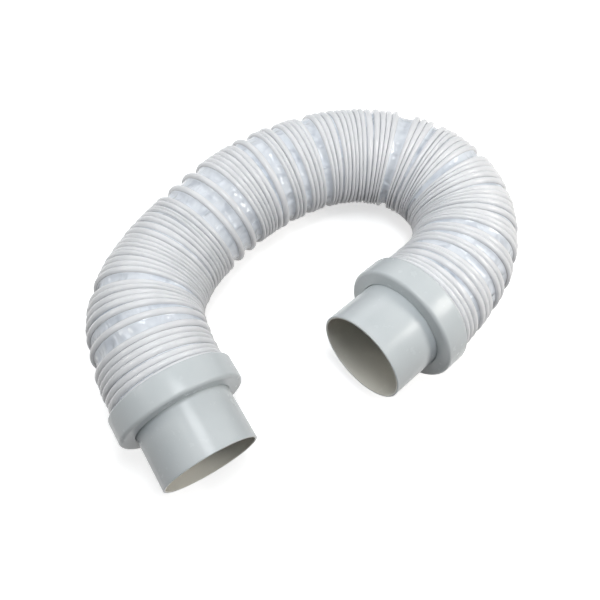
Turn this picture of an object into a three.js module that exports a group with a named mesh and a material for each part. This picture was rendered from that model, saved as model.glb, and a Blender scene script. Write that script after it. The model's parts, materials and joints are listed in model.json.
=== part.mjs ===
// Flexible air duct for 100 mm ventilation: a film hose carried on a helical bead,
// with a plug-in end fitting at each end, lying in an open loop on the floor.
// Millimetres, +Z up. The finished group stands on z = 0 with the middle of its box over the origin.
import * as THREE from 'three';

// ---- driving dimensions -------------------------------------------------------------

// end fitting, measured along its own axis from the open tip towards the hose
const SPIGOT_RADIUS = 50;         // outside of the plain tube: the 100 mm duct size
const SPIGOT_WALL = 2.6;
const SPIGOT_LENGTH = 56;         // what stands out of the collar
const TIP_CHAMFER = 0.7;
const COLLAR_LENGTH = 28.6;
const COLLAR_FRONT_ROUND = 3.8;
const COLLAR_REAR_ROUND = 2.6;
const COLLAR_WALL = 3.9;
const COLLAR_FACE = 3.5;          // thickness of the annular front face
const SEAL_THICKNESS = 1.7;
const SEAL_SLACK = 2.5;           // room between the seal and the tube
const FLANGE_THICKNESS = 2.4;     // hidden flange that traps the seal
const SLEEVE_LENGTH = 20;         // part behind the flange that carries the end of the hose
const SLEEVE_WALL = 2.4;
const ROUND_STEPS = 3;            // facets in a rounded edge
const FITTING_SIDES = 32;

// hose
const FREE_LENGTH = 728;          // hose that shows between the two collars
const HOSE_STEP = 11.5;           // how far the bead at a collar stands out past the plain tube
const FILM_WALL = 0.8;
const BEAD_WIDTH = 5.2;
const BEAD_HEIGHT = 3.4;
const BEAD_PACKING = 0.86;        // widest share of the pitch that a crowded bead takes up
const BEAD_LENGTH = 2.7;          // most turns in one length of bead
const TURN_STEPS = 16;            // facets in one turn, and in the film under it
const FILM_ROW_ANGLE = 12;        // a row of film facets ends after so many degrees of bend,
const FILM_ROW_LENGTH = 34;       // or so much straight hose, or some of each
const FILM_SEARCH_STEP = 0.5;
const SLEEVE_GAP = 0.7;           // slack of the hose's bore on the spigot's sleeve
const BEAD_CUT = 1.2;             // gap between two runs' bead ends, which turn against each other
const BEAD_SEAT = 0.45;           // gap between the faceted film and the bead on it
const CLEARANCE = 0.3;            // running gap between neighbouring pieces

// lay on the floor
const START_HEADING = 123.1;      // degrees from +X, from tip A towards the hose
const PITCH_A = 3.0;              // degrees that fitting A rises towards the hose
const PITCH_B = 4.3;              // degrees that fitting B rises towards its tip
const SETTLE_LENGTH = 150;        // hose that it takes to come down from collar to floor height

// The hose lies in twelve equal arcs: clockwise bend in degrees, and how much smaller in radius
// its ribs are at the far end than at a collar, where they crowd and stand wider.
const ARCS = [
  { bend: 12, waist: 0 },
  { bend: 37, waist: 2.9 },
  { bend: 19, waist: 5.2 },
  { bend: 6, waist: 5 },
  { bend: 13, waist: 4.7 },
  { bend: 11.5, waist: 5.9 },
  { bend: 20.5, waist: 6.3 },
  { bend: 26, waist: 5.3 },
  { bend: 33, waist: 4.2 },
  { bend: 39.5, waist: 4.4 },
  { bend: 32.5, waist: 3.1 },
  { bend: 9.5, waist: 0 },
];

// The bead in the order of its runs. Each bundle is [turns, spread]: so many turns side by side,
// then that many millimetres of bare film more than the normal pitch. A run ends where the hose
// flexes: half a turn past a whole number ends it at the foot of the hose, a quarter at its side.
const HIDDEN_TURNS = 3;           // turns inside each collar
const RUNS = [
  [[HIDDEN_TURNS + 6.25, 13]],
  [[1.2, 6], [5.05, 9]],
  [[9.4, 3], [6.6, 13]],
  [[1, 14], [1, 14]],
  [[5.8, 6], [1.2, 12]],
  [[3, 9], [4, 10]],
  [[3.3, 3], [6.3, 2], [4.4, 14]],
  [[3, 6], [6, 7]],
  [[4.6, 3], [4.8, 4], [3.6, 9]],
  [[2, 8], [1.75, 10]],
  [[2.9, 6], [3.85 + HIDDEN_TURNS, 0]],
];
const SPREAD_TURNS = 0.6;         // share of a turn that the bead takes to cross a spread

// ---- derived sizes --------------------------------------------------------------------

const DEG = Math.PI / 180;
const SIDE_SHRINK = Math.cos(Math.PI / TURN_STEPS);
const FITTING_SHRINK = Math.cos(Math.PI / FITTING_SIDES);
const END_RADIUS = SPIGOT_RADIUS + HOSE_STEP;
const SEAL_START = SPIGOT_LENGTH + COLLAR_FACE + CLEARANCE;
const FLANGE_START = SEAL_START + SEAL_THICKNESS + CLEARANCE;
const TUBE_END = FLANGE_START - SPIGOT_WALL;
const HOSE_START = FLANGE_START + FLANGE_THICKNESS + CLEARANCE;
const COLLAR_END = SPIGOT_LENGTH + COLLAR_LENGTH;
const HIDDEN_LENGTH = COLLAR_END - HOSE_START;
const HOSE_LENGTH = FREE_LENGTH + 2 * HIDDEN_LENGTH;
const COLLAR_BORE = (END_RADIUS + CLEARANCE) / FITTING_SHRINK;
const COLLAR_RADIUS = COLLAR_BORE + COLLAR_WALL;
const FLANGE_RADIUS = COLLAR_BORE * FITTING_SHRINK - CLEARANCE;
const FILM_DEPTH = BEAD_HEIGHT + BEAD_SEAT;
const SLEEVE_RADIUS = (END_RADIUS - FILM_DEPTH - FILM_WALL) * SIDE_SHRINK - SLEEVE_GAP;
const TURNS = RUNS.flat().reduce((sum, [turns]) => sum + turns, 0);
const SPREAD = RUNS.flat().reduce((sum, [, spread]) => sum + spread, 0);
const PITCH = (HOSE_LENGTH - BEAD_WIDTH - SPREAD) / TURNS;

// ---- the hose's centreline --------------------------------------------------------------

// Height of a fitting's axis above the floor where the collar ends: its lower edge stands on z = 0.
function collarHeight(pitch, lowestPoint) {
  const slope = Math.tan(pitch * DEG);
  return COLLAR_RADIUS / Math.cos(pitch * DEG) + (COLLAR_END - lowestPoint) * slope;
}
const SLOPE_A = Math.tan(PITCH_A * DEG);
const SLOPE_B = Math.tan(PITCH_B * DEG);
const HEIGHT_A = collarHeight(PITCH_A, SPIGOT_LENGTH + COLLAR_FRONT_ROUND);
const HEIGHT_B = collarHeight(-PITCH_B, COLLAR_END - COLLAR_REAR_ROUND);

const arcLength = FREE_LENGTH / ARCS.length;

// Plan position and heading at a distance s from collar A's end, straight before and after the arcs.
function planAt(s) {
  let x = 0;
  let y = 0;
  let heading = START_HEADING * DEG;
  let left = s;
  const forward = (distance) => {
    x += distance * Math.cos(heading);
    y += distance * Math.sin(heading);
  };
  if (left <= 0) {
    forward(left);
    return { x, y, heading };
  }
  for (const { bend } of ARCS) {
    const step = Math.min(left, arcLength);
    const turn = bend * DEG * step / arcLength;
    const chord = step * Math.sin(turn / 2) / (turn / 2);
    heading -= turn / 2;
    forward(chord);
    heading -= turn / 2;
    left -= step;
    if (left <= 0) return { x, y, heading };
  }
  forward(left);
  return { x, y, heading };
}

function beadRadiusAt(s) {
  const place = THREE.MathUtils.clamp(s / arcLength, 0, ARCS.length);
  const index = Math.min(Math.floor(place), ARCS.length - 1);
  const from = index === 0 ? 0 : ARCS[index - 1].waist;
  return END_RADIUS - THREE.MathUtils.lerp(from, ARCS[index].waist, place - index);
}

// Height of the centreline: a straight rise in each fitting, and a smooth settling onto the floor.
function heightAt(s) {
  const floorHeight = beadRadiusAt(s);
  const fromB = FREE_LENGTH - s;
  if (s <= 0) return HEIGHT_A + s * SLOPE_A;
  if (fromB <= 0) return HEIGHT_B - fromB * SLOPE_B;
  const settle = (distance, height, slope) => {
    const u = Math.min(distance / SETTLE_LENGTH, 1);
    const stays = (1 + 2 * u) * (1 - u) ** 2;
    return (height - floorHeight) * stays + slope * SETTLE_LENGTH * u * (1 - u) ** 2;
  };
  return floorHeight + settle(s, HEIGHT_A, SLOPE_A) + settle(fromB, HEIGHT_B, -SLOPE_B);
}

// Frame at s: along points from A to B, right is the inner side of the loop.
function frameAt(s) {
  const { x, y, heading } = planAt(s);
  const step = 0.5;
  const rise = (heightAt(s + step) - heightAt(s - step)) / (2 * step);
  const along = new THREE.Vector3(Math.cos(heading), Math.sin(heading), rise).normalize();
  const right = new THREE.Vector3(Math.sin(heading), -Math.cos(heading), 0);
  const up = right.clone().cross(along);
  return { centre: new THREE.Vector3(x, y, heightAt(s)), along, right, up };
}

function radialAt(frame, turn) {
  const angle = Math.PI / 2 - 2 * Math.PI * turn;
  return frame.right.clone().multiplyScalar(Math.cos(angle))
    .addScaledVector(frame.up, Math.sin(angle));
}

// ---- the bead's helix -----------------------------------------------------------------------

// Turn number at which each bundle ends, with the spread that follows it.
const spreads = [];
const runEnds = [];
let turnCount = 0;
for (const run of RUNS) {
  for (const [turns, spread] of run) {
    turnCount += turns;
    spreads.push({ turn: turnCount, spread });
  }
  runEnds.push(turnCount);
}

// Distance along the centreline, from collar A's end, that the bead has reached after some turns.
function beadStation(turn) {
  let s = turn * PITCH - HIDDEN_LENGTH + BEAD_WIDTH / 2;
  for (const { turn: middle, spread } of spreads) {
    const low = middle - SPREAD_TURNS / 2;
    s += spread * THREE.MathUtils.smoothstep(turn, low, low + SPREAD_TURNS);
  }
  return s;
}

function beadPoint(turn) {
  const s = beadStation(turn);
  const frame = frameAt(s);
  const radius = beadRadiusAt(s) - BEAD_HEIGHT;
  return frame.centre.addScaledVector(radialAt(frame, turn), radius);
}

// A bead is narrower where its neighbouring turns crowd it, on the inner side of a tight bend.
function beadWidthAt(turn) {
  const here = beadPoint(turn);
  const before = turn >= 1 ? here.distanceTo(beadPoint(turn - 1)) : Infinity;
  const after = turn <= TURNS - 1 ? here.distanceTo(beadPoint(turn + 1)) : Infinity;
  return Math.min(BEAD_WIDTH, BEAD_PACKING * before, BEAD_PACKING * after);
}

function beadSection(turn) {
  const s = beadStation(turn);
  const frame = frameAt(s);
  const radial = radialAt(frame, turn);
  const crest = beadRadiusAt(s);
  const halfWidth = beadWidthAt(turn) / 2;
  const corner = (radius, offset) => frame.centre.clone()
    .addScaledVector(radial, radius)
    .addScaledVector(frame.along, offset);
  return [
    corner(crest - BEAD_HEIGHT, halfWidth),
    corner(crest, 0),
    corner(crest - BEAD_HEIGHT, -halfWidth),
  ];
}

// ---- mesh helpers ------------------------------------------------------------------------------

// Skin over a list of rings with equal numbers of points, closed by two caps or, as a loop, on itself.
function loft(rings, loop) {
  const sides = rings[0].length;
  const positions = rings.flat().flatMap((point) => point.toArray());
  const index = [];
  const count = loop ? rings.length : rings.length - 1;
  for (let i = 0; i < count; i += 1) {
    const near = i * sides;
    const far = ((i + 1) % rings.length) * sides;
    for (let j = 0; j < sides; j += 1) {
      const next = (j + 1) % sides;
      index.push(near + j, near + next, far + next);
      index.push(near + j, far + next, far + j);
    }
  }
  if (!loop) {
    const last = (rings.length - 1) * sides;
    for (let j = 1; j < sides - 1; j += 1) {
      index.push(0, j + 1, j);
      index.push(last, last + j, last + j + 1);
    }
  }
  const geometry = new THREE.BufferGeometry();
  geometry.setAttribute('position', new THREE.Float32BufferAttribute(positions, 3));
  geometry.setIndex(index);
  geometry.computeVertexNormals();
  return geometry;
}

// Quarter-round from one profile point to another, bulging away from the centre given.
function roundedEdge(centre, radius, fromAngle, toAngle) {
  const points = [];
  for (let i = 0; i <= ROUND_STEPS; i += 1) {
    const angle = THREE.MathUtils.lerp(fromAngle, toAngle, i / ROUND_STEPS) * DEG;
    points.push(new THREE.Vector2(
      centre[0] + radius * Math.cos(angle),
      centre[1] + radius * Math.sin(angle),
    ));
  }
  return points;
}

function ringLathe(profile) {
  const points = profile.map((p) => (p.isVector2 ? p : new THREE.Vector2(p[0], p[1])));
  points.push(points[0].clone());
  return new THREE.LatheGeometry(points, FITTING_SIDES);
}

// ---- hose pieces -----------------------------------------------------------------------------------

// One length of bead, with half a gap left free at each end.
function beadGeometry(fromTurn, toTurn, fromGap, toGap) {
  const round = 2 * Math.PI * END_RADIUS;
  const first = fromTurn + fromGap / 2 / round;
  const last = toTurn - toGap / 2 / round;
  const steps = Math.round((toTurn - fromTurn) * TURN_STEPS);
  const rings = [];
  for (let i = 0; i <= steps; i += 1) {
    const turn = THREE.MathUtils.lerp(fromTurn, toTurn, i / steps);
    rings.push(beadSection(THREE.MathUtils.clamp(turn, first, last)));
  }
  return loft(rings, false);
}

// A run's bead in nearly equal lengths, cut where its facets meet.
function beadLengths(fromTurn, toTurn) {
  const turns = toTurn - fromTurn;
  const count = Math.ceil(turns / BEAD_LENGTH);
  const cut = (i) => fromTurn + Math.round(turns * TURN_STEPS * i / count) / TURN_STEPS;
  const lengths = [];
  for (let i = 0; i < count; i += 1) {
    const fromGap = i === 0 ? BEAD_CUT : CLEARANCE;
    const toGap = i === count - 1 ? BEAD_CUT : CLEARANCE;
    lengths.push(beadGeometry(cut(i), cut(i + 1), fromGap, toGap));
  }
  return lengths;
}

function bendBetween(fromStation, toStation) {
  return (planAt(fromStation).heading - planAt(toStation).heading) / DEG;
}

function filmRing(s, depth) {
  const frame = frameAt(s);
  const radius = beadRadiusAt(s) - depth;
  const ring = [];
  for (let j = 0; j < TURN_STEPS; j += 1) {
    const radial = radialAt(frame, j / TURN_STEPS);
    ring.push(frame.centre.clone().addScaledVector(radial, radius));
  }
  return ring;
}

// Rows of film facets from one station to another, closer together where the hose bends more.
function filmStations(fromStation, toStation) {
  const share = (s) => bendBetween(fromStation, s) / FILM_ROW_ANGLE
    + (s - fromStation) / FILM_ROW_LENGTH;
  const rows = Math.ceil(share(toStation));
  const stations = [fromStation];
  for (let s = fromStation; stations.length < rows; s += FILM_SEARCH_STEP) {
    if (share(s) >= share(toStation) * stations.length / rows) stations.push(s);
  }
  return [...stations, toStation];
}

function filmGeometry(fromStation, toStation) {
  const outside = [];
  const inside = [];
  for (const s of filmStations(fromStation, toStation)) {
    outside.push(filmRing(s, FILM_DEPTH));
    inside.unshift(filmRing(s, FILM_DEPTH + FILM_WALL));
  }
  return loft([...outside, ...inside], true);
}

// ---- end fitting pieces: profiles of radius and distance from the tip -----------------------------------

function spigotGeometry() {
  const bore = SPIGOT_RADIUS - SPIGOT_WALL;
  return ringLathe([
    [bore, TIP_CHAMFER],
    [bore + TIP_CHAMFER, 0],
    [SPIGOT_RADIUS - TIP_CHAMFER, 0],
    [SPIGOT_RADIUS, TIP_CHAMFER],
    [SPIGOT_RADIUS, TUBE_END],
    [bore, TUBE_END],
  ]);
}

// Root of the plug-in tube: a flange for the seal, and the sleeve inside the hose.
function cuffGeometry() {
  const bore = SPIGOT_RADIUS - SPIGOT_WALL;
  const sleeveBore = SLEEVE_RADIUS - SLEEVE_WALL;
  const flangeEnd = FLANGE_START + FLANGE_THICKNESS;
  return ringLathe([
    [bore, TUBE_END + CLEARANCE],
    [SPIGOT_RADIUS, TUBE_END + CLEARANCE],
    [SPIGOT_RADIUS, FLANGE_START],
    [FLANGE_RADIUS, FLANGE_START],
    [FLANGE_RADIUS, flangeEnd],
    [SLEEVE_RADIUS, flangeEnd],
    [SLEEVE_RADIUS, flangeEnd + SLEEVE_LENGTH],
    [sleeveBore, flangeEnd + SLEEVE_LENGTH],
    [sleeveBore, flangeEnd],
  ]);
}

function collarGeometry() {
  const faceHole = (SPIGOT_RADIUS + CLEARANCE) / FITTING_SHRINK;
  const front = roundedEdge(
    [COLLAR_RADIUS - COLLAR_FRONT_ROUND, SPIGOT_LENGTH + COLLAR_FRONT_ROUND], COLLAR_FRONT_ROUND, -90, 0);
  const rear = roundedEdge(
    [COLLAR_RADIUS - COLLAR_REAR_ROUND, COLLAR_END - COLLAR_REAR_ROUND], COLLAR_REAR_ROUND, 0, 90);
  return ringLathe([
    [faceHole, SPIGOT_LENGTH],
    ...front,
    ...rear,
    [COLLAR_BORE, COLLAR_END],
    [COLLAR_BORE, SPIGOT_LENGTH + COLLAR_FACE],
    [faceHole, SPIGOT_LENGTH + COLLAR_FACE],
  ]);
}

function sealGeometry() {
  const inner = SPIGOT_RADIUS + SEAL_SLACK;
  return ringLathe([
    [inner, SEAL_START],
    [FLANGE_RADIUS, SEAL_START],
    [FLANGE_RADIUS, SEAL_START + SEAL_THICKNESS],
    [inner, SEAL_START + SEAL_THICKNESS],
  ]);
}

// ---- materials --------------------------------------------------------------------------------------------

const finish = (color, roughness) => () => new THREE.MeshStandardMaterial({
  color,
  roughness,
  metalness: 0,
});
const beadFinish = finish(0xe6e4dc, 0.35);
const filmFinish = finish(0xdfe5ec, 0.22);
const fittingFinish = finish(0xdadbd2, 0.3);
const sealFinish = finish(0x5a5c5e, 0.8);

// ---- assembly -----------------------------------------------------------------------------------------------

const group = new THREE.Group();

function addMesh(parent, name, geometry, material) {
  const mesh = new THREE.Mesh(geometry, material());
  mesh.name = name;
  parent.add(mesh);
}

RUNS.forEach((run, i) => {
  const number = String(i + 1).padStart(2, '0');
  const fromTurn = i === 0 ? 0 : runEnds[i - 1];
  const toTurn = runEnds[i];
  const fromStation = i === 0 ? -HIDDEN_LENGTH : beadStation(fromTurn) + CLEARANCE / 2;
  const toStation = i === RUNS.length - 1
    ? FREE_LENGTH + HIDDEN_LENGTH
    : beadStation(toTurn) - CLEARANCE / 2;
  addMesh(group, `film_sleeve_${number}`, filmGeometry(fromStation, toStation), filmFinish);
  beadLengths(fromTurn, toTurn).forEach((length, k) => {
    addMesh(group, `helix_bead_${number}_${k + 1}`, length, beadFinish);
  });
});

// A fitting is built along its own +Y from the tip, then laid along the hose's end.
function addFitting(letter, station, direction) {
  const fitting = new THREE.Group();
  const frame = frameAt(station);
  const axis = frame.along.clone().multiplyScalar(direction);
  const side = frame.right.clone().multiplyScalar(direction);
  fitting.quaternion.setFromRotationMatrix(
    new THREE.Matrix4().makeBasis(side, axis, side.clone().cross(axis)));
  fitting.position.copy(frame.centre).addScaledVector(axis, -COLLAR_END);
  addMesh(fitting, `spigot_${letter}`, spigotGeometry(), fittingFinish);
  addMesh(fitting, `hose_cuff_${letter}`, cuffGeometry(), fittingFinish);
  addMesh(fitting, `collar_${letter}`, collarGeometry(), fittingFinish);
  addMesh(fitting, `seal_ring_${letter}`, sealGeometry(), sealFinish);
  group.add(fitting);
}
addFitting('a', 0, 1);
addFitting('b', FREE_LENGTH, -1);

// Put the middle of the box over the origin and the lowest point on the floor.
group.updateMatrixWorld(true);
const box = new THREE.Box3().setFromObject(group, true);
const middle = box.getCenter(new THREE.Vector3());
group.position.set(-middle.x, -middle.y, -box.min.z);

export default group;
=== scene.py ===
# %% [markdown]
# # A flexible air duct, dressed in Blender
#
# The object is a plastic ventilation hose. One long ridge, called the bead, winds round and round like
# the thread of a screw, and a thin glossy film is bonded between its turns. Each end carries a round
# fitting: a plain tube that plugs into a 100 mm socket, and a wider collar that grips the hose.
#
# The solids of the duct come ready made, in metres, from the frame. They give the sizes, the places and
# the joints. This lesson makes what the eye sees: every turn of the bead, the film between the turns,
# smooth fittings, their finishes, the light and the camera.

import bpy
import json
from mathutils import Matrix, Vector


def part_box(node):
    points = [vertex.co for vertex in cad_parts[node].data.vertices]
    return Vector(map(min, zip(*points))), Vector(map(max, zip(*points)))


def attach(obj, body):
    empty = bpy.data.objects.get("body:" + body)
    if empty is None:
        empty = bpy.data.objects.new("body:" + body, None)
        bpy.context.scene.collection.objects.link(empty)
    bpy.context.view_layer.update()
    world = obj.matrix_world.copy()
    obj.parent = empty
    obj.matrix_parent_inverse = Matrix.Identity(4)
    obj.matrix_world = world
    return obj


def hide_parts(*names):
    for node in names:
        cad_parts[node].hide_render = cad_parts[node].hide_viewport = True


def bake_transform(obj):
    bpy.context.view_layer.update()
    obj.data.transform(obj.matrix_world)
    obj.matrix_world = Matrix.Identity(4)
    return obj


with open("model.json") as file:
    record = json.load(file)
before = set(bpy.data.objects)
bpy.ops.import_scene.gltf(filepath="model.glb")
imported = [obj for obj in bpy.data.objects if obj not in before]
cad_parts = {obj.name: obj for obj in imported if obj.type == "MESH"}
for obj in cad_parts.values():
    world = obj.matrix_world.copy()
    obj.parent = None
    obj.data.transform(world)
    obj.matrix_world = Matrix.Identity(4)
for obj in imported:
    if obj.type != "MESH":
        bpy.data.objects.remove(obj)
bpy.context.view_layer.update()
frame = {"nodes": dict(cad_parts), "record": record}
print("solids:", len(frame["nodes"]))

# %% Other libraries
import json
import math
import random

import bpy
import numpy as np
from mathutils import Matrix, Vector, noise

MM = 0.001
DEG = math.pi / 180

# %% [markdown]
# ## The camera
#
# A camera can be placed by eye, or worked out from the outlines of things whose size is known. Here the
# two round fittings give it away: the shape of an ellipse says how far the camera is tilted, and how
# much smaller the far one looks says how close the camera stands. The camera looks steeply down at a
# point on the floor, turned a little about its own line of sight.

# %% Camera
CAMERA_TARGET = Vector((-0.0304, 0.0085, 0))
CAMERA_DISTANCE = 0.750
CAMERA_ELEVATION = 64.43 * DEG
CAMERA_ROLL = 2.17 * DEG
PICTURE_SIDE = 600
FOCAL_PIXELS = 638.5
CENTRE_PIXEL = (281.9, 296.0)
SENSOR_WIDTH = 36
CLIP_START = 10 * MM


def make_camera():
    data = bpy.data.cameras.new("camera")
    data.sensor_width = SENSOR_WIDTH
    data.lens = SENSOR_WIDTH * FOCAL_PIXELS / PICTURE_SIDE
    data.shift_x = (PICTURE_SIDE / 2 - CENTRE_PIXEL[0]) / PICTURE_SIDE
    data.shift_y = (CENTRE_PIXEL[1] - PICTURE_SIDE / 2) / PICTURE_SIDE
    data.clip_start = CLIP_START
    camera = bpy.data.objects.new("camera", data)
    bpy.context.scene.collection.objects.link(camera)
    back = Vector((0, -math.cos(CAMERA_ELEVATION), math.sin(CAMERA_ELEVATION)))
    tilt = Matrix.Rotation(math.pi / 2 - CAMERA_ELEVATION, 4, "X")
    roll = Matrix.Rotation(CAMERA_ROLL, 4, "Z")
    turn = tilt @ roll
    camera.matrix_world = Matrix.Translation(CAMERA_TARGET + back * CAMERA_DISTANCE) @ turn
    bpy.context.scene.camera = camera
    return camera


camera = make_camera()
print("lens:", round(camera.data.lens, 2), "mm")

# %% [markdown]
# ## The line that the hose follows
#
# The hose lies in an open loop. A curve object could carry that line, but a hose is easier to control
# when its centreline is a function: give it a distance along the hose, and it gives back a place and a
# direction. The loop is twelve arcs of equal length. Each arc has one bend angle, and the hose's own
# radius at its far end, because the ribs stand wider where they crowd against a collar.

# %% Sizes of the fittings and of the hose
SPIGOT_RADIUS = 50 * MM
SPIGOT_WALL = 2.6 * MM
SPIGOT_LENGTH = 56 * MM
COLLAR_LENGTH = 28.6 * MM
COLLAR_FACE = 3.5 * MM
COLLAR_WALL = 3.9 * MM
SEAL_THICKNESS = 1.7 * MM
FLANGE_THICKNESS = 2.4 * MM
CLEARANCE = 0.3 * MM
COLLAR_END = SPIGOT_LENGTH + COLLAR_LENGTH
SEAL_START = SPIGOT_LENGTH + COLLAR_FACE + CLEARANCE
HOSE_START = SEAL_START + SEAL_THICKNESS + FLANGE_THICKNESS + 2 * CLEARANCE
HIDDEN_LENGTH = COLLAR_END - HOSE_START

FREE_LENGTH = 728 * MM
START_HEADING = 123.1 * DEG
END_RADIUS = 61.5               # in millimetres, as are the radii below
ARCS = [                        # bend in degrees, and radius of the hose where the arc ends
    (12, 61.5), (37, 58.6), (19, 56.3), (6, 56.5), (13, 56.8), (11.5, 55.6),
    (20.5, 55.2), (26, 56.2), (33, 57.3), (39.5, 57.1), (32.5, 58.4), (9.5, END_RADIUS),
]
ARC_LENGTH = FREE_LENGTH / len(ARCS)
SOLID_SIDES = 32                # the plain collar has so many flats, and clears the ribs at each
COLLAR_RADIUS = (END_RADIUS * MM + CLEARANCE) / math.cos(math.pi / SOLID_SIDES) + COLLAR_WALL
print("length of the hose that shows:", FREE_LENGTH, "m")

# %% Plan of the loop
STATION_STEP = 0.25 * MM
PAST_THE_TIPS = 20 * MM
REACH = COLLAR_END + PAST_THE_TIPS
STATIONS = np.arange(-REACH, FREE_LENGTH + REACH, STATION_STEP)


def plan_of_the_loop():
    """Place at each station, seen from above. Station 0 is where collar A ends."""
    edges = np.arange(len(ARCS) + 1) * ARC_LENGTH
    turned = np.concatenate([[0], np.cumsum([bend * DEG for bend, _ in ARCS])])
    heading = START_HEADING - np.interp(STATIONS, edges, turned)
    middle = (heading[1:] + heading[:-1]) / 2
    x = np.concatenate([[0], np.cumsum(np.cos(middle) * STATION_STEP)])
    y = np.concatenate([[0], np.cumsum(np.sin(middle) * STATION_STEP)])
    x -= np.interp(0, STATIONS, x)
    y -= np.interp(0, STATIONS, y)
    return x, y


PLAN_X, PLAN_Y = plan_of_the_loop()
print("the loop turns through", round(sum(bend for bend, _ in ARCS)), "degrees")

# %% Radius of the hose, over the crest of its bead
CREST_RADII = np.array([END_RADIUS] + [radius for _, radius in ARCS]) * MM


def crest_radius(station):
    return np.interp(station, np.arange(len(ARCS) + 1) * ARC_LENGTH, CREST_RADII)


print("radius at the middle:", round(float(crest_radius(FREE_LENGTH / 2)), 4))

# %% [markdown]
# ## Height above the floor
#
# A collar is fatter than the hose, so the hose leaves it above the floor and settles down to it. Fitting
# A is tipped up a little towards the hose, and fitting B towards its own mouth. The smooth step that an
# animator would use for easing does this: it starts with the fitting's slope and ends level.

# %% Height of the centreline
PITCH_A = 3.0 * DEG
PITCH_B = 4.3 * DEG
SETTLE_LENGTH = 150 * MM
COLLAR_FRONT_ROUND = 3.8 * MM
COLLAR_REAR_ROUND = 2.6 * MM


def collar_height(pitch, lowest_point):
    return COLLAR_RADIUS / math.cos(pitch) + (COLLAR_END - lowest_point) * math.tan(pitch)


def settle(distance, height, slope):
    u = np.clip(distance / SETTLE_LENGTH, 0, 1)
    stays = (1 + 2 * u) * (1 - u) ** 2
    return height * stays + slope * SETTLE_LENGTH * u * (1 - u) ** 2


def centre_height(station):
    floor_height = crest_radius(station)
    slope_a = math.tan(PITCH_A)
    slope_b = math.tan(PITCH_B)
    height_a = collar_height(PITCH_A, SPIGOT_LENGTH + COLLAR_FRONT_ROUND)
    height_b = collar_height(-PITCH_B, COLLAR_END - COLLAR_REAR_ROUND)
    to_b = FREE_LENGTH - station
    lying = (floor_height + settle(station, height_a - floor_height, slope_a)
             + settle(to_b, height_b - floor_height, -slope_b))
    rising = np.where(station <= 0, height_a + station * slope_a, lying)
    return np.where(to_b <= 0, height_b - to_b * slope_b, rising)


HEIGHTS = centre_height(STATIONS)
collar_heights = [round(float(centre_height(station)), 4) for station in (0.0, FREE_LENGTH)]
print("height at the collars:", collar_heights)

# %% [markdown]
# The line so far starts at its own zero. The frame says where the real zero is: the seal ring in fitting
# A is a plain flat ring, so the middle of its box is a point on the hose's line. The seal ring at the
# other end then tests the whole curve, and the number printed there should be almost nothing.

# %% Place the line in the frame
def seal_centre(node):
    low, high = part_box(node)
    return np.array((low + high) / 2)


def on_the_line(station):
    """Place on the hose's centreline, still at its own zero."""
    x = np.interp(station, STATIONS, PLAN_X)
    y = np.interp(station, STATIONS, PLAN_Y)
    z = np.interp(station, STATIONS, HEIGHTS)
    return np.stack([x, y, z], -1)


SEAL_DEPTH = COLLAR_END - SEAL_START - SEAL_THICKNESS / 2
LINE_START = seal_centre("seal_ring_a") - on_the_line(-SEAL_DEPTH)


def centre(station):
    return on_the_line(station) + LINE_START


line_error = np.linalg.norm(centre(FREE_LENGTH + SEAL_DEPTH) - seal_centre("seal_ring_b"))
print("the line misses the far seal by", round(float(line_error) / MM, 3), "mm")

# %% Directions along, right of and above the line
def directions(station):
    """Unit vectors at a station. Right is the inner side of the loop."""
    step = 0.5 * MM
    along = centre(station + step) - centre(station - step)
    along /= np.linalg.norm(along, axis=-1, keepdims=True)
    right = np.stack([along[..., 1], -along[..., 0], np.zeros_like(along[..., 0])], -1)
    right /= np.linalg.norm(right, axis=-1, keepdims=True)
    return along, right, np.cross(right, along)


# %% [markdown]
# ## Where each turn of the bead lies
#
# A screw thread has one pitch, but this hose has been handled: its turns have slid together into packed
# bundles, with bare film between them. So the bead is described the way it looks. Each pair below is a
# bundle: so many turns side by side, then so many millimetres of film more than the usual pitch. The
# pitch itself is what is left of the hose's length, shared by all the turns.

# %% Bundles of turns
HIDDEN_TURNS = 3
BUNDLES = [
    (HIDDEN_TURNS + 6.25, 13), (1.2, 6), (5.05, 9), (9.4, 3), (6.6, 13), (1, 14), (1, 14), (5.8, 6),
    (1.2, 12), (3, 9), (4, 10), (3.3, 3), (6.3, 2), (4.4, 14), (3, 6), (6, 7), (4.6, 3), (4.8, 4),
    (3.6, 9), (2, 8), (1.75, 10), (2.9, 6), (3.85 + HIDDEN_TURNS, 0),
]
BEAD_WIDTH = 5.2 * MM
BEAD_HEIGHT = 3.4 * MM
SPREAD_TURNS = 0.6
TURNS = sum(turns for turns, _ in BUNDLES)
SPREAD = sum(spread for _, spread in BUNDLES) * MM
HOSE_LENGTH = FREE_LENGTH + 2 * HIDDEN_LENGTH
PITCH = (HOSE_LENGTH - BEAD_WIDTH - SPREAD) / TURNS
print(round(TURNS), "turns, with a pitch of", round(PITCH / MM, 2), "mm")


# %% Station of the bead after some turns
def smooth_step(value, low, high):
    u = np.clip((value - low) / (high - low), 0, 1)
    return u * u * (3 - 2 * u)


def bead_station(turn):
    station = turn * PITCH - HIDDEN_LENGTH + BEAD_WIDTH / 2
    reached = 0
    for turns, spread in BUNDLES:
        reached += turns
        low = reached - SPREAD_TURNS / 2
        station = station + spread * MM * smooth_step(turn, low, low + SPREAD_TURNS)
    return station


# %% [markdown]
# ## Making it less perfect
#
# Computed turns look like a machine drawing. Real ones lean a little, sit a little proud or deep, and
# wander towards a neighbour. Random numbers per vertex would make the plastic look rough, so instead
# the bead gets slow waves: the lean changes over several turns, the height over one to three, and
# another wave lets single turns wander. Everything comes from one seeded generator, so the duct is the
# same each time.

# %% Slow waves
SEED = 41
WAVE_PARTS = 7
chance = random.Random(SEED)


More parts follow.
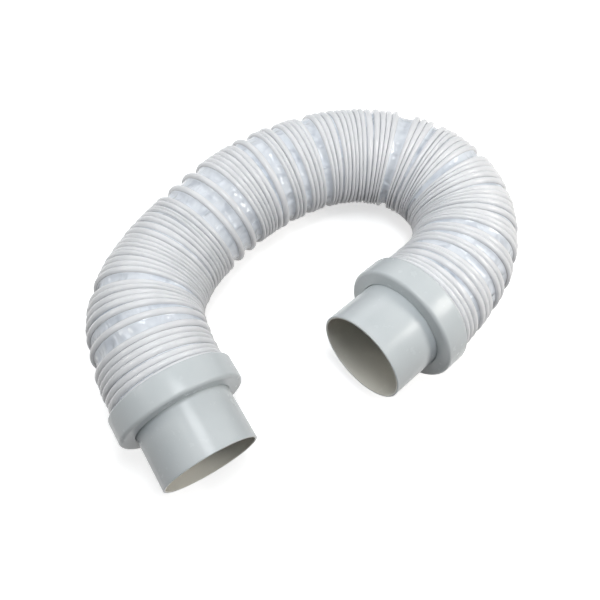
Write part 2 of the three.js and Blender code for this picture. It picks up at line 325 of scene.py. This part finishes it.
def slow_wave(shortest, longest):
    """A smooth random function of the turn number, about between -1 and 1. Wavelengths are in turns."""
    parts = [(2 * math.pi / chance.uniform(shortest, longest), chance.uniform(0, 2 * math.pi))
             for _ in range(WAVE_PARTS)]

    def value(turn):
        return sum(np.sin(turn * rate + phase) for rate, phase in parts) / math.sqrt(WAVE_PARTS)

    return value


# %% Lean, height and wander of the turns
LEAN = 0.9 * MM
LEAN_WAVELENGTHS = (5, 14)
PROUD = 0.4 * MM
PROUD_WAVELENGTHS = (0.7, 3.5)
WANDER = 0.3 * MM
WANDER_WAVELENGTHS = (0.9, 2.6)
CALM_TURNS = 2

lean_sideways = slow_wave(*LEAN_WAVELENGTHS)
lean_upwards = slow_wave(*LEAN_WAVELENGTHS)
proud_wave = slow_wave(*PROUD_WAVELENGTHS)
wander_wave = slow_wave(*WANDER_WAVELENGTHS)


def calm_near_collars(turn):
    """0 inside the collars, 1 in the open hose."""
    clear_of_a = smooth_step(turn, HIDDEN_TURNS, HIDDEN_TURNS + CALM_TURNS)
    clear_of_b = smooth_step(TURNS - turn, HIDDEN_TURNS, HIDDEN_TURNS + CALM_TURNS)
    return clear_of_a * clear_of_b


tallest = float((PROUD * proud_wave(np.arange(round(TURNS)))).max())
print("the tallest turn stands", round(tallest / MM, 2), "mm proud")

# %% Place of the bead, anywhere round the hose
def turn_angle(turn):
    return math.pi / 2 - 2 * math.pi * turn


def radial(turn, right, up):
    angle = turn_angle(turn)[..., None]
    return right * np.cos(angle) + up * np.sin(angle)


def bead_line(turn):
    """Centre of the bead's foot, the way out of the hose, and the way along it."""
    turn = np.asarray(turn, float)
    station = bead_station(turn)
    along, right, up = directions(station)
    out = radial(turn, right, up)
    angle = turn_angle(turn)
    calm = calm_near_collars(turn)
    lean = LEAN * calm * (lean_sideways(turn) * np.cos(angle) + lean_upwards(turn) * np.sin(angle))
    lean = lean + WANDER * calm * wander_wave(turn)
    foot = crest_radius(station) - BEAD_HEIGHT + PROUD * calm * proud_wave(turn)
    place = centre(station) + out * foot[..., None] + along * lean[..., None]
    return place, out, along


print("the bead starts at", bead_line([0])[0][0].round(4))

# %% Width of a rib
RIB_WIDTH = 7.2 * MM
RIB_PACKING = 0.97
SAMPLES_PER_TURN = 4


def rib_width(turn):
    """A rib is narrower where its neighbouring turns crowd it, on the inner side of a bend."""
    place = bead_line(turn)[0]
    before = np.linalg.norm(place - bead_line(turn - 1)[0], axis=-1)
    after = np.linalg.norm(place - bead_line(turn + 1)[0], axis=-1)
    return np.minimum(RIB_WIDTH, RIB_PACKING * np.minimum(before, after))


open_turns = np.linspace(HIDDEN_TURNS + 1, TURNS - HIDDEN_TURNS - 1, round(TURNS) * SAMPLES_PER_TURN)
widths = rib_width(open_turns) / MM
print("rib width from", round(float(widths.min()), 2), "to", round(float(widths.max()), 2), "mm")

# %% [markdown]
# ## Finishes
#
# The plastics are all nearly white, and what tells them apart is small: the bead is a plain white with
# a satin skin, the film a colder white that mirrors the lamps, the fittings a slightly green grey-white.
# Each finish is a Principled shader with a noise that varies its colour a little, a second one that
# varies its gloss, and a fine bump. A number painted on the mesh, `depth`, is 0 on a crest and 1 in a
# groove, where the colour turns to a dull, darker grey: dust gathers there, and the groove's shade is
# painted in as well.

# %% Helper for a node tree
def new_finish(name):
    material = bpy.data.materials.new(name)
    material.use_nodes = True
    tree = material.node_tree
    return material, tree, tree.nodes["Principled BSDF"]


def add_node(tree, kind, inputs=None, **settings):
    node = tree.nodes.new(kind)
    for key, value in settings.items():
        setattr(node, key, value)
    for key, value in (inputs or {}).items():
        node.inputs[key].default_value = value
    return node


# %% Noises, ranges, mixtures and bumps
NOISE_DETAIL = 3
NOISE_ROUGHNESS = 0.55
NOISE_RANGE = (0.3, 0.7)        # a noise seldom goes beyond these values


def object_noise(tree, scale, detail=NOISE_DETAIL):
    place = add_node(tree, "ShaderNodeTexCoord")
    cloud = add_node(tree, "ShaderNodeTexNoise",
                     {"Scale": scale, "Detail": detail, "Roughness": NOISE_ROUGHNESS})
    tree.links.new(place.outputs["Object"], cloud.inputs["Vector"])
    return cloud.outputs["Fac"]


def between(tree, factor, low, high, reach=NOISE_RANGE):
    """A number that goes from low to high as the factor goes through its reach."""
    ramp = add_node(tree, "ShaderNodeMapRange",
                    {"From Min": reach[0], "From Max": reach[1], "To Min": low, "To Max": high})
    tree.links.new(factor, ramp.inputs["Value"])
    return ramp.outputs["Result"]


def mixed_colour(tree, factor, first, second):
    mix = add_node(tree, "ShaderNodeMix", data_type="RGBA")
    colours = [socket for socket in mix.inputs if socket.type == "RGBA"]
    for socket, colour in zip(colours, (first, second)):
        if isinstance(colour, tuple):
            socket.default_value = (*colour, 1)
        else:
            tree.links.new(colour, socket)
    tree.links.new(factor, mix.inputs["Factor"])
    return next(socket for socket in mix.outputs if socket.type == "RGBA")


def bump(tree, shader, height, strength, distance):
    """Strength is a number or the output of another node. A bump that is already there stays under it."""
    node = add_node(tree, "ShaderNodeBump", {"Distance": distance})
    if isinstance(strength, float):
        node.inputs["Strength"].default_value = strength
    else:
        tree.links.new(strength, node.inputs["Strength"])
    for link in shader.inputs["Normal"].links:
        tree.links.new(link.from_socket, node.inputs["Normal"])
    tree.links.new(height, node.inputs["Height"])
    tree.links.new(node.outputs["Normal"], shader.inputs["Normal"])


# %% A plastic
PLASTIC_IOR = 1.5
PLAIN_SPECULAR = 0.5
TINT_SCALE = 35
GLOSS_SCALE = 120
GRAIN_DETAIL = 2
GRAIN_STRENGTH = 0.35
# the grooves are painted darker, for dust and as painted shade: how much, and from which depth
DUST_AND_SHADE_SHARE = 0.6
DUST_AND_SHADE_DEPTHS = (0.75, 1)


def painted(tree, name, output="Fac"):
    return add_node(tree, "ShaderNodeAttribute", attribute_name=name).outputs[output]


def plastic(name, bright, dull, roughness, grain_scale, grain_height, dust_and_shade=None, specular=PLAIN_SPECULAR):
    """Roughness is its lowest and highest value. A colour for the grooves is dust and painted shade."""
    material, tree, shader = new_finish(name)
    colour = mixed_colour(tree, between(tree, object_noise(tree, TINT_SCALE), 0, 1), bright, dull)
    # darker grooves: dust, and painted shade
    if dust_and_shade:
        dust_and_shade_mix = between(tree, painted(tree, "depth"), 0, DUST_AND_SHADE_SHARE, DUST_AND_SHADE_DEPTHS)
        colour = mixed_colour(tree, dust_and_shade_mix, colour, dust_and_shade)
    tree.links.new(colour, shader.inputs["Base Color"])
    gloss = between(tree, object_noise(tree, GLOSS_SCALE), *roughness)
    tree.links.new(gloss, shader.inputs["Roughness"])
    shader.inputs["IOR"].default_value = PLASTIC_IOR
    shader.inputs["Specular IOR Level"].default_value = specular
    grain = object_noise(tree, grain_scale, GRAIN_DETAIL)
    bump(tree, shader, grain, GRAIN_STRENGTH, grain_height)
    return material


# %% Finish of the bead and of the film
BEAD = plastic(
    "bead_satin_white",
    bright=(0.90, 0.905, 0.925),
    dull=(0.84, 0.85, 0.87),
    roughness=(0.14, 0.24),
    grain_scale=260,
    grain_height=0.05 * MM,
    # colour of the grooves: dust, and painted shade
    dust_and_shade=(0.34, 0.32, 0.32),
)
FILM = plastic(
    "film_glossy_cold_white",
    bright=(0.81, 0.85, 0.90),
    dull=(0.76, 0.80, 0.86),
    roughness=(0.07, 0.16),
    grain_scale=160,
    grain_height=0.3 * MM,
    # colour of the grooves: dust, and painted shade
    dust_and_shade=(0.36, 0.34, 0.35),
)

# %% Finish of the fittings and of the seals
FITTING = plastic(
    "fitting_moulded_white",
    bright=(0.69, 0.73, 0.745),
    dull=(0.66, 0.705, 0.72),
    roughness=(0.22, 0.28),
    grain_scale=90,
    grain_height=0.01 * MM,
    specular=0.35,
)
SEAL = plastic(
    "seal_grey_rubber",
    bright=(0.10, 0.10, 0.11),
    dull=(0.07, 0.07, 0.08),
    roughness=(0.6, 0.8),
    grain_scale=500,
    grain_height=0.2 * MM,
)
print("finishes:", ", ".join(finish.name for finish in (BEAD, FILM, FITTING, SEAL)))

# %% [markdown]
# Where the film is open it isn't smooth: it was folded between two turns before, and it keeps little
# pleats that run from one turn to the next. They are too fine for the mesh, so they are a bump, and their
# valleys get painted shade, a darker, bluer colour where light is lost. Two more painted numbers place
# them: `lie` is the place on the strip of film, in metres round the hose and across the strip, and `slack`
# is 1 where the film is open and 0 where it is folded away.

# %% Pleats of the film
PLEATS_PER_METRE = 70
PLEAT_STRETCH = 0.4
PLEAT_DETAIL = 1.5
PLEAT_ROUGHNESS = 0.4
PLEAT_DISTORTION = 0.8
PLEAT_HEIGHT = 3.6 * MM
# painted shade in the pleats' valleys
VALLEY_COLOUR = (0.36, 0.40, 0.47)
VALLEY_SHADE = 0.38
VALLEY_RANGE = (0.34, 0.5)


def add_pleats(material):
    tree = material.node_tree
    stretch = add_node(tree, "ShaderNodeVectorMath", operation="MULTIPLY")
    stretch.inputs[1].default_value = (1, PLEAT_STRETCH, 1)
    tree.links.new(painted(tree, "lie", "Vector"), stretch.inputs[0])
    pleats = add_node(tree, "ShaderNodeTexNoise", {
        "Scale": PLEATS_PER_METRE,
        "Detail": PLEAT_DETAIL,
        "Roughness": PLEAT_ROUGHNESS,
        "Distortion": PLEAT_DISTORTION,
    })
    tree.links.new(stretch.outputs["Vector"], pleats.inputs["Vector"])
    shader = tree.nodes["Principled BSDF"]
    slack = painted(tree, "slack")
    bump(tree, shader, pleats.outputs["Fac"], slack, PLEAT_HEIGHT)
    # the valleys of the pleats get painted shade
    shade = add_node(tree, "ShaderNodeMath", operation="MULTIPLY")
    valleys = between(tree, pleats.outputs["Fac"], VALLEY_SHADE, 0, VALLEY_RANGE)
    tree.links.new(valleys, shade.inputs[0])
    tree.links.new(slack, shade.inputs[1])
    colour = shader.inputs["Base Color"].links[0].from_socket
    shaded = mixed_colour(tree, shade.outputs[0], colour, VALLEY_COLOUR)
    tree.links.new(shaded, shader.inputs["Base Color"])


add_pleats(FILM)
print("pleats: about", PLEATS_PER_METRE, "to the metre of film")

# %% [markdown]
# A fitting's wall lets a little light through, so its bore glows warmer and lighter than its outside.
# Real light through the wall would cost many samples. A painted number `inside` does it instead: it is 1
# in the bore, and turns the colour there to a warmer, lighter one.

# %% Warm bore of the fittings
BORE_COLOUR = (0.90, 0.88, 0.80)


def warm_the_bore(material):
    tree = material.node_tree
    shader = tree.nodes["Principled BSDF"]
    outside = shader.inputs["Base Color"].links[0].from_socket
    warmed = mixed_colour(tree, painted(tree, "inside"), outside, BORE_COLOUR)
    tree.links.new(warmed, shader.inputs["Base Color"])


warm_the_bore(FITTING)
print("colour of the bores:", BORE_COLOUR)

# %% [markdown]
# ## From rows of points to a mesh
#
# Everything on this hose is a row of points swept along a line, so one helper serves both the bead and
# the film: it takes the points and the faces between them, and makes a smooth object. Edges that turn
# sharply, such as the rim of a cut end, stay crisp.

# %% Mesh helper
SHARP = 55 * DEG


def mesh_object(name, points, faces, material, slot, **numbers):
    """The numbers are painted on the points under their own names: one each, or three for a place."""
    mesh = bpy.data.meshes.new(name)
    mesh.from_pydata(np.asarray(points).reshape(-1, 3).tolist(), [], faces)
    for key, values in numbers.items():
        is_place = np.size(values) == 3 * len(mesh.vertices)
        layer = mesh.attributes.new(key, "FLOAT_VECTOR" if is_place else "FLOAT", "POINT")
        layer.data.foreach_set("vector" if is_place else "value", np.asarray(values, np.float32).ravel())
    mesh.polygons.foreach_set("use_smooth", [True] * len(mesh.polygons))
    mesh.set_sharp_from_angle(angle=SHARP)
    mesh.materials.append(material)
    piece = bpy.data.objects.new(name, mesh)
    bpy.context.scene.collection.objects.link(piece)
    return piece


# %% [markdown]
# ## Cutting the hose where nothing bends
#
# The frame bends the hose at its joints, and between two joints each stretch is rigid. Each joint lies
# where the film is open. A piece of film or bead has to bend smoothly over one joint, so it reaches from
# about the middle of one rigid stretch to the middle of the next, and the first and the last piece reach
# into the collars. Turns are counted from the top of the hose, so a cut at half a turn lies at its foot,
# where a seam doesn't show.

# %% Joints and cuts, counted in turns
JOINT_TURNS = [9.25, 15.5, 31.5, 33.5, 40.5, 47.5, 61.5, 70.5, 83.5, 87.25]
CUT_TURNS = [0, 12.5, 23.5, 32.5, 36.5, 44.5, 54.5, 65.5, 77.5, 85.5, TURNS]
BODIES = ["end_a", *[f"run_{n:02d}" for n in range(2, 11)], "end_b"]
BLEND_TURNS = 2
TURN_STEPS = 96


def turn_rows(first, last):
    steps = round((last - first) * TURN_STEPS)
    return np.linspace(first, last, steps + 1)


def share_of_next_body(number, turn):
    """0 while the bead still follows the body before the joint, 1 once it follows the one after.

    The first turn of a piece follows the body before, because the film of the piece before reaches it.
    """
    low = max(JOINT_TURNS[number] - BLEND_TURNS, CUT_TURNS[number] + 1)
    high = min(JOINT_TURNS[number] + BLEND_TURNS, CUT_TURNS[number + 1])
    return smooth_step(turn, low, high)


def bend_over_joint(piece):
    """Writes the piece's placement into its points."""
    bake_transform(piece)


print(len(JOINT_TURNS), "joints, so", len(CUT_TURNS) - 1, "pieces of bead and as many of film")

# %% [markdown]
# ## The bead
#
# A helix could come from a Screw modifier, but that repeats one pitch for ever. Sweeping a half-round
# section along our own line of turns gives every bundle and gap its place. The section is a half circle
# with fuller shoulders and a flat foot, closed all round, and each piece of bead has a face at both ends.

# %% Section of the bead
ARCH_POINTS = 9
ARCH_POWER = 0.72
FOOT_SINK = 0.35 * MM


def bead_section():
    """Offsets across the bead, from -1 to 1, and heights above its foot, from 0 to 1."""
    angle = np.linspace(0, math.pi, ARCH_POINTS)
    return np.cos(angle), np.sin(angle) ** ARCH_POWER


# %% Sweep the bead
def make_bead(number):
    turns = turn_rows(CUT_TURNS[number], CUT_TURNS[number + 1])
    place, out, along = bead_line(turns)
    half = rib_width(turns) / 2
    across, height = bead_section()
    offset = along[:, None, :] * (half[:, None] * across)[..., None]
    rise = out[:, None, :] * (BEAD_HEIGHT * height)[None, :, None]
    arch = place[:, None, :] + offset + rise
    foot = arch[:, [-1, 0], :] - out[:, None, :] * FOOT_SINK
    rings = np.concatenate([arch, foot], 1)
    rows, columns = rings.shape[:2]
    faces = [
        (i * columns + j, (i + 1) * columns + j,
         (i + 1) * columns + (j + 1) % columns, i * columns + (j + 1) % columns)
        for i in range(rows - 1) for j in range(columns)
    ]
    faces.append(tuple(range(columns)))
    faces.append(tuple((rows - 1) * columns + j for j in reversed(range(columns))))
    # depth places the grooves' dust and painted shade at the bead's foot
    groove = np.concatenate([1 - height, [1, 1]])
    piece = mesh_object(f"hose_bead_{number + 1:02d}", rings, faces, BEAD, "bead",
                        depth=np.broadcast_to(groove, (rows, columns)))
    bend_over_joint(piece)
    return piece


beads = [make_bead(n) for n in range(len(JOINT_TURNS))]
print("bead:", sum(len(b.data.polygons) for b in beads), "faces")

# %% [markdown]
# ## The film
#
# On the real hose a strip of film runs from each turn of the bead to the next. The mesh is the same: for
# every place on the bead it has a row of points that reaches to the turn one pitch further on, and the
# last point of a row is the first point of the row one turn later, so it all becomes one seamless tube.
# Between packed turns it has no room and bulges a little above the foot of the bead, so that only a thin
# groove shows between the ribs, dusty and with its shade painted in. Where the turns stand apart it sags,
# with soft creases and dents.
# What counts is the gap, which is how much of the film lies bare between two turns.

# %% Sag of the film
CLOSED_GAP = 2 * MM
OPEN_GAP = 6 * MM
FOLD_DEPTH = -0.7 * MM
BAND_SAG = 1.3 * MM
FLATNESS = 0.4                  # an open band is flatter across its middle than a closed one


def film_dip(gap, across):
    """How far the film lies below the foot of the bead. across is 0 at one bead and 1 at the next."""
    openness = smooth_step(gap, 0, OPEN_GAP)
    depth = FOLD_DEPTH + (BAND_SAG - FOLD_DEPTH) * openness
    return depth * np.sin(math.pi * across) ** (1 - FLATNESS * openness)


print("an open band sags by", round(float(film_dip(OPEN_GAP, 0.5)) / MM, 2), "mm")

# %% Creases and dents
CREASE = 0.5 * MM
CREASE_SCALE = 42
DENT = 2.2 * MM
DENT_SCALE = 28
DENT_SHIFT = Vector((7, 3, 5))  # takes the dents from another part of the noise than the creases
DENT_SHARPNESS = 4


def crease(places, gap, across):
    """Soft waves, and here and there a dent with a sharp valley. A closed gap has none."""
    spots = [Vector(place) for place in places.reshape(-1, 3)]
    waves = np.array([noise.noise(spot * CREASE_SCALE) for spot in spots])
    dents = np.array([noise.noise(spot * DENT_SCALE + DENT_SHIFT) for spot in spots])
    valleys = smooth_step(1 - DENT_SHARPNESS * np.abs(dents), 0, 1)
    height = (CREASE * waves - DENT * valleys).reshape(places.shape[:-1])
    return height * smooth_step(gap, CLOSED_GAP, OPEN_GAP) * np.sin(math.pi * across)


# %% Points of the film between neighbouring turns
FILM_COLUMNS = 11
MOST_COVERED = 0.48             # a rib covers no larger share of the way to the next one
DEPTH_IN_GROOVE = 1
DEPTH_IN_BAND = 0.25
SLACK_GAPS = (0.5 * MM, 3 * MM)  # the pleats begin at the first gap and are whole at the second


def film_surface(turns):
    """A row of points for each turn value, from its bead towards the next, and what is painted on them."""
    here, out_here, _ = bead_line(turns)
    there, out_there, _ = bead_line(turns + 1)
    apart = np.linalg.norm(there - here, axis=-1)
    edge_here = np.minimum(rib_width(turns) / 2 / apart, MOST_COVERED)
    edge_there = np.minimum(rib_width(turns + 1) / 2 / apart, MOST_COVERED)
    gap = (apart - BEAD_WIDTH)[:, None]
    inner = np.linspace(0, 1, FILM_COLUMNS)
    across = edge_here[:, None] + (1 - edge_here - edge_there)[:, None] * inner
    across = np.concatenate([np.zeros((len(turns), 1)), across], 1)
    inner = np.concatenate([[0], inner])
    share = across[..., None]
    straight = here[:, None] * (1 - share) + there[:, None] * share
    out = out_here[:, None] * (1 - share) + out_there[:, None] * share
    dip = film_dip(gap, inner) - crease(straight, gap, inner)
    hump = np.sqrt(np.sin(math.pi * inner))
    # a closed groove is painted darker, with dust and painted shade; an open band stays clear
    depth = np.where(gap < CLOSED_GAP, DEPTH_IN_GROOVE, DEPTH_IN_BAND) * hump
    slack = smooth_step(gap, *SLACK_GAPS) * hump
    round_the_hose = np.broadcast_to(turns[:, None] * 2 * math.pi * END_RADIUS * MM, across.shape)
    lie = np.stack([round_the_hose, apart[:, None] * across, np.zeros(across.shape)], -1)
    return straight - out * dip[..., None], across, {"depth": depth, "slack": slack, "lie": lie}


# %% Join the rows into pieces of film
def film_faces(rows, columns, added):
    """Each row ends on the first point of the row one turn on, and the last rows on the added points."""
    index = np.arange(rows * columns).reshape(rows, columns).tolist()
    starts = [row[0] for row in index] + list(range(rows * columns, rows * columns + added))
    faces = []
    for i in range(rows - 1):
        row, after = index[i], index[i + 1]
        faces += [(row[j], row[j + 1], after[j + 1], after[j]) for j in range(columns - 1)]
        faces.append((row[-1], starts[i + TURN_STEPS], starts[i + 1 + TURN_STEPS], after[-1]))
    return faces


def with_edge(values, edge):
    """The values row after row, and then those of the edge."""
    return np.concatenate([values.reshape(-1, *edge.shape[1:]), edge])


def make_film(number):
    first, last = CUT_TURNS[number], CUT_TURNS[number + 1]
    if number == len(JOINT_TURNS) - 1:
        last -= 1               # the very last turn has no next one to reach to
    turns = turn_rows(first, last)
    points, across, numbers = film_surface(turns)
    rows, columns = across.shape
    edge_turns = turn_rows(last, last + 1)[1:]
    edge = bead_line(edge_turns)[0]
    here = share_of_next_body(number, turns)[:, None]
    there = share_of_next_body(number, turns + 1)[:, None]
    shares = here * (1 - across) + there * across
    shares = with_edge(shares, share_of_next_body(number, edge_turns))
    for key, values in numbers.items():
        numbers[key] = with_edge(values, np.zeros((len(edge_turns), *values.shape[2:])))
    points = with_edge(points, edge)
    faces = film_faces(rows, columns, len(edge_turns))
    piece = mesh_object(f"hose_film_{number + 1:02d}", points, faces, FILM, "film", **numbers)
    bend_over_joint(piece)
    return piece


films = [make_film(n) for n in range(len(JOINT_TURNS))]
print("film:", sum(len(f.data.polygons) for f in films), "faces")

# %% [markdown]
# The plain solids of the body that each of these pieces starts on are hidden, and the piece takes their
# place. The last piece of bead and of film also takes the place of those of the last body, as no piece
# starts there.

# %% Hide the plain solids
def solids_of(body, kind):
    return [node for node in frame["record"]["behaviour"]["bodies"][body] if node.startswith(kind)]


for n, (bead, film) in enumerate(zip(beads, films)):
    covered = BODIES[n:] if n == len(beads) - 1 else [BODIES[n]]
    for piece, kind in ((bead, "helix_bead"), (film, "film_sleeve")):
        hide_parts(*[node for body in covered for node in solids_of(body, kind)])

# %% [markdown]
# ## The end fittings
#
# Turned and moulded round parts are profiles spun about an axis. Blender's Spin tool or a Screw modifier
# would do it; here the profile is a short list of distances, and a function spins it into a closed ring.
# The plain solids have 32 flat sides, and a smooth fitting has 160, with finer rounds on the edges that
# show.

# %% Spin a profile
FITTING_SIDES = 160
ROUND_POINTS = 9
WARM_SHARE = 0.4                # so much of the tube's wall, from the bore outwards, has the bore's colour
WARM_RADIUS = SPIGOT_RADIUS - (1 - WARM_SHARE) * SPIGOT_WALL


def quarter_round(centre_radius, centre_depth, radius, start, stop):
    """Points of an arc in a profile of (radius, depth), between two angles in degrees."""
    angles = np.linspace(start * DEG, stop * DEG, ROUND_POINTS)
    return [(centre_radius + radius * math.cos(a), centre_depth + radius * math.sin(a)) for a in angles]


def spin(name, profile, tip, axis):
    """A closed ring. The profile runs round its section, as radius and depth from the tip."""
    side = np.cross([0, 0, 1], axis)
    side /= np.linalg.norm(side)
    third = np.cross(axis, side)
    rows = len(profile)
    points = []
    faces = []
    inside = [float(radius < WARM_RADIUS) for radius, _ in profile]
    for k in range(FITTING_SIDES):
        angle = 2 * math.pi * k / FITTING_SIDES
        out = side * math.cos(angle) + third * math.sin(angle)
        points += [tip + axis * depth + out * radius for radius, depth in profile]
        side_start = k * rows
        next_start = (k + 1) % FITTING_SIDES * rows
        for j in range(rows):
            after = (j + 1) % rows
            faces.append((side_start + j, side_start + after, next_start + after, next_start + j))
    return mesh_object(name, points, faces, FITTING, "fitting", inside=inside * FITTING_SIDES)


# %% Profiles of the tube and the collar
LIP = 0.7 * MM
SLEEVE_LENGTH = 20 * MM
SLEEVE_RADIUS = 55.1 * MM
SLEEVE_WALL = 2.4 * MM
FLANGE_RADIUS = END_RADIUS * MM
FILLET = 1.2 * MM


def spigot_profile():
    bore = SPIGOT_RADIUS - SPIGOT_WALL
    flange = SEAL_START + SEAL_THICKNESS + CLEARANCE
    flange_end = flange + FLANGE_THICKNESS
    return [
        *quarter_round(bore + LIP, LIP, LIP, 180, 270),
        *quarter_round(SPIGOT_RADIUS - LIP, LIP, LIP, 270, 360),
        (SPIGOT_RADIUS, flange),
        (FLANGE_RADIUS, flange),
        (FLANGE_RADIUS, flange_end),
        (SLEEVE_RADIUS, flange_end),
        (SLEEVE_RADIUS, flange_end + SLEEVE_LENGTH),
        (SLEEVE_RADIUS - SLEEVE_WALL, flange_end + SLEEVE_LENGTH),
        (SLEEVE_RADIUS - SLEEVE_WALL, flange_end),
        (bore, flange - SPIGOT_WALL),
    ]


def collar_profile():
    hole = SPIGOT_RADIUS + CLEARANCE
    bore = COLLAR_RADIUS - COLLAR_WALL
    return [
        *quarter_round(hole + FILLET, SPIGOT_LENGTH + FILLET, FILLET, 180, 270),
        *quarter_round(COLLAR_RADIUS - COLLAR_FRONT_ROUND, SPIGOT_LENGTH + COLLAR_FRONT_ROUND,
                       COLLAR_FRONT_ROUND, 270, 360),
        *quarter_round(COLLAR_RADIUS - COLLAR_REAR_ROUND, COLLAR_END - COLLAR_REAR_ROUND,
                       COLLAR_REAR_ROUND, 0, 90),
        (bore, COLLAR_END),
        (bore, SPIGOT_LENGTH + COLLAR_FACE),
        (hole, SPIGOT_LENGTH + COLLAR_FACE),
    ]


# %% Both fittings
def make_fitting(letter, station, sign, body):
    axis = directions(np.float64(station))[0] * sign
    tip = centre(np.float64(station)) - axis * COLLAR_END
    for kind, profile, solids in (("spigot", spigot_profile(), ("spigot", "hose_cuff")),
                                  ("collar", collar_profile(), ("collar",))):
        piece = spin(f"{kind}_smooth_{letter}", profile, tip, axis)
        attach(piece, body)
        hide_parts(*[f"{solid}_{letter}" for solid in solids])
    ring = frame["nodes"][f"seal_ring_{letter}"]
    ring.data.materials.clear()
    ring.data.materials.append(SEAL)


make_fitting("a", 0, 1, BODIES[0])
make_fitting("b", FREE_LENGTH, -1, BODIES[-1])
print("points round the section of a tube and of a collar:", len(spigot_profile()), len(collar_profile()))

# %% [markdown]
# ## Floor and light
#
# The picture's ground is plain white, yet the duct's undersides are dark and a little brown, so the real
# ground was darker than it looks. A floor that lit the duct like snow would lose that. Light Path tells a
# shader what kind of ray is asking. The camera, and the rays that gloss sends on, see a white floor that
# takes the duct's shadow, while the light that spreads from the floor to the duct is that of a dark,
# warm one. In the same way the sky looks white, but lights the duct as a soft cool dome, brightest
# overhead and black towards the horizon, which darkens the plastic towards its edges.

# %% Floor
WHITE = (1, 1, 1)
FLOOR_SIDE = 6
FLOOR_ROUGHNESS = 0.9
FLOOR_SPECULAR = 0.1
FLOOR_COLOUR = (0.94, 0.94, 0.94)
FLOOR_LIFT = 0.6                # glow that the camera sees on top of the light that falls on the floor
GROUND = (0.06, 0.045, 0.04)    # the colour that the duct is lit by


def seen_or_mirrored(tree):
    """1 for the camera's rays and for those that gloss sends back, 0 for the light on the duct."""
    rays = add_node(tree, "ShaderNodeLightPath")
    total = rays.outputs["Is Camera Ray"]
    for kind in ("Is Glossy Ray", "Is Transmission Ray"):
        larger = add_node(tree, "ShaderNodeMath", operation="MAXIMUM")
        tree.links.new(total, larger.inputs[0])
        tree.links.new(rays.outputs[kind], larger.inputs[1])
        total = larger.outputs[0]
    return total


def make_floor():
    half = FLOOR_SIDE / 2
    mesh = bpy.data.meshes.new("floor")
    mesh.from_pydata([(-half, -half, 0), (half, -half, 0), (half, half, 0), (-half, half, 0)], [],
                     [(0, 1, 2, 3)])
    floor = bpy.data.objects.new("floor", mesh)
    bpy.context.scene.collection.objects.link(floor)
    material, tree, shader = new_finish("floor_white")
    shader.inputs["Roughness"].default_value = FLOOR_ROUGHNESS
    shader.inputs["Specular IOR Level"].default_value = FLOOR_SPECULAR
    seen = seen_or_mirrored(tree)
    ground = mixed_colour(tree, seen, GROUND, FLOOR_COLOUR)
    tree.links.new(ground, shader.inputs["Base Color"])
    lift = add_node(tree, "ShaderNodeMath", operation="MULTIPLY")
    lift.inputs[1].default_value = FLOOR_LIFT
    tree.links.new(seen, lift.inputs[0])
    shader.inputs["Emission Color"].default_value = (*WHITE, 1)
    tree.links.new(lift.outputs[0], shader.inputs["Emission Strength"])
    mesh.materials.append(material)


make_floor()
print("floor:", FLOOR_SIDE, "m square")

# %% Sky
HORIZON_LEVEL = 0.0
ZENITH_LEVEL = 0.28
DOME_RANGE = (0.25, 1)          # from a quarter of the way up to the zenith, as heights on a unit dome
SEEN_LEVEL = 1.0                # at this strength a white sky is seen as white
SKY_COLOUR = (0.88, 0.95, 1)


def make_sky():
    world = bpy.data.worlds.new("sky")
    bpy.context.scene.world = world
    world.use_nodes = True
    tree = world.node_tree
    background = tree.nodes["Background"]
    direction = add_node(tree, "ShaderNodeTexCoord")
    split = add_node(tree, "ShaderNodeSeparateXYZ")
    tree.links.new(direction.outputs["Generated"], split.inputs["Vector"])
    dome = between(tree, split.outputs["Z"], HORIZON_LEVEL, ZENITH_LEVEL, DOME_RANGE)
    seen = seen_or_mirrored(tree)
    tree.links.new(mixed_colour(tree, seen, SKY_COLOUR, WHITE), background.inputs["Color"])
    level = add_node(tree, "ShaderNodeMix", {"B": SEEN_LEVEL}, data_type="FLOAT")
    tree.links.new(seen, level.inputs["Factor"])
    tree.links.new(dome, level.inputs["A"])
    tree.links.new(level.outputs["Result"], background.inputs["Strength"])


make_sky()
print("sky: level", ZENITH_LEVEL, "overhead")

# %% [markdown]
# The lamps are square area lights. Their places were found by rendering the duct under one lamp at a
# time, and finding which mixture comes closest to the picture: most of the light falls from above and
# from the right, less from the left, and one lamp behind lightens the far rim. A smaller lamp makes a
# smaller, sharper glint, so the one that draws the streak on the left tube is only 7 cm wide.

# %% Lamps
WARM = (1, 0.965, 0.91)
COOL = (0.96, 0.98, 1)
LAMPS = [
    # name, place, point aimed at, width in metres, power in watts, colour
    ("lamp_above", (0, 0, 1.15), (0, 0, 0), 0.35, 3.9, COOL),
    ("lamp_right", (0.80, 0, 0.70), (0.05, 0, 0), 0.30, 3.6, WARM),
    ("lamp_left", (-0.85, -0.05, 0.70), (-0.05, 0, 0), 0.30, 1.5, WARM),
    ("lamp_right_front", (0.70, -0.55, 0.70), (0, 0, 0), 0.30, 0.9, COOL),
    ("lamp_left_front", (-0.37, -0.25, 1.0), (0, 0, 0), 0.07, 0.3, WHITE),
    ("lamp_far_left", (-0.70, 0.55, 0.70), (-0.1, 0, 0), 0.30, 0.7, COOL),
    ("lamp_back", (-0.25, 0.90, 0.55), (0, 0.1, 0), 0.50, 1.5, COOL),
]


def add_lamp(name, place, aim, width, power, colour):
    data = bpy.data.lights.new(name, "AREA")
    data.shape = "SQUARE"
    data.size = width
    data.energy = power
    data.color = colour
    lamp = bpy.data.objects.new(name, data)
    lamp.location = place
    lamp.rotation_euler = (Vector(aim) - Vector(place)).to_track_quat("-Z", "Y").to_euler()
    bpy.context.scene.collection.objects.link(lamp)


for settings in LAMPS:
    add_lamp(*settings)
print(len(LAMPS), "lamps")

# %% [markdown]
# ## Colours as they are written
#
# Blender's usual view softens bright colours. The Standard view shows them as they are written, which
# suits a white object on white.

# %% Picture settings
bpy.context.scene.view_settings.view_transform = "Standard"
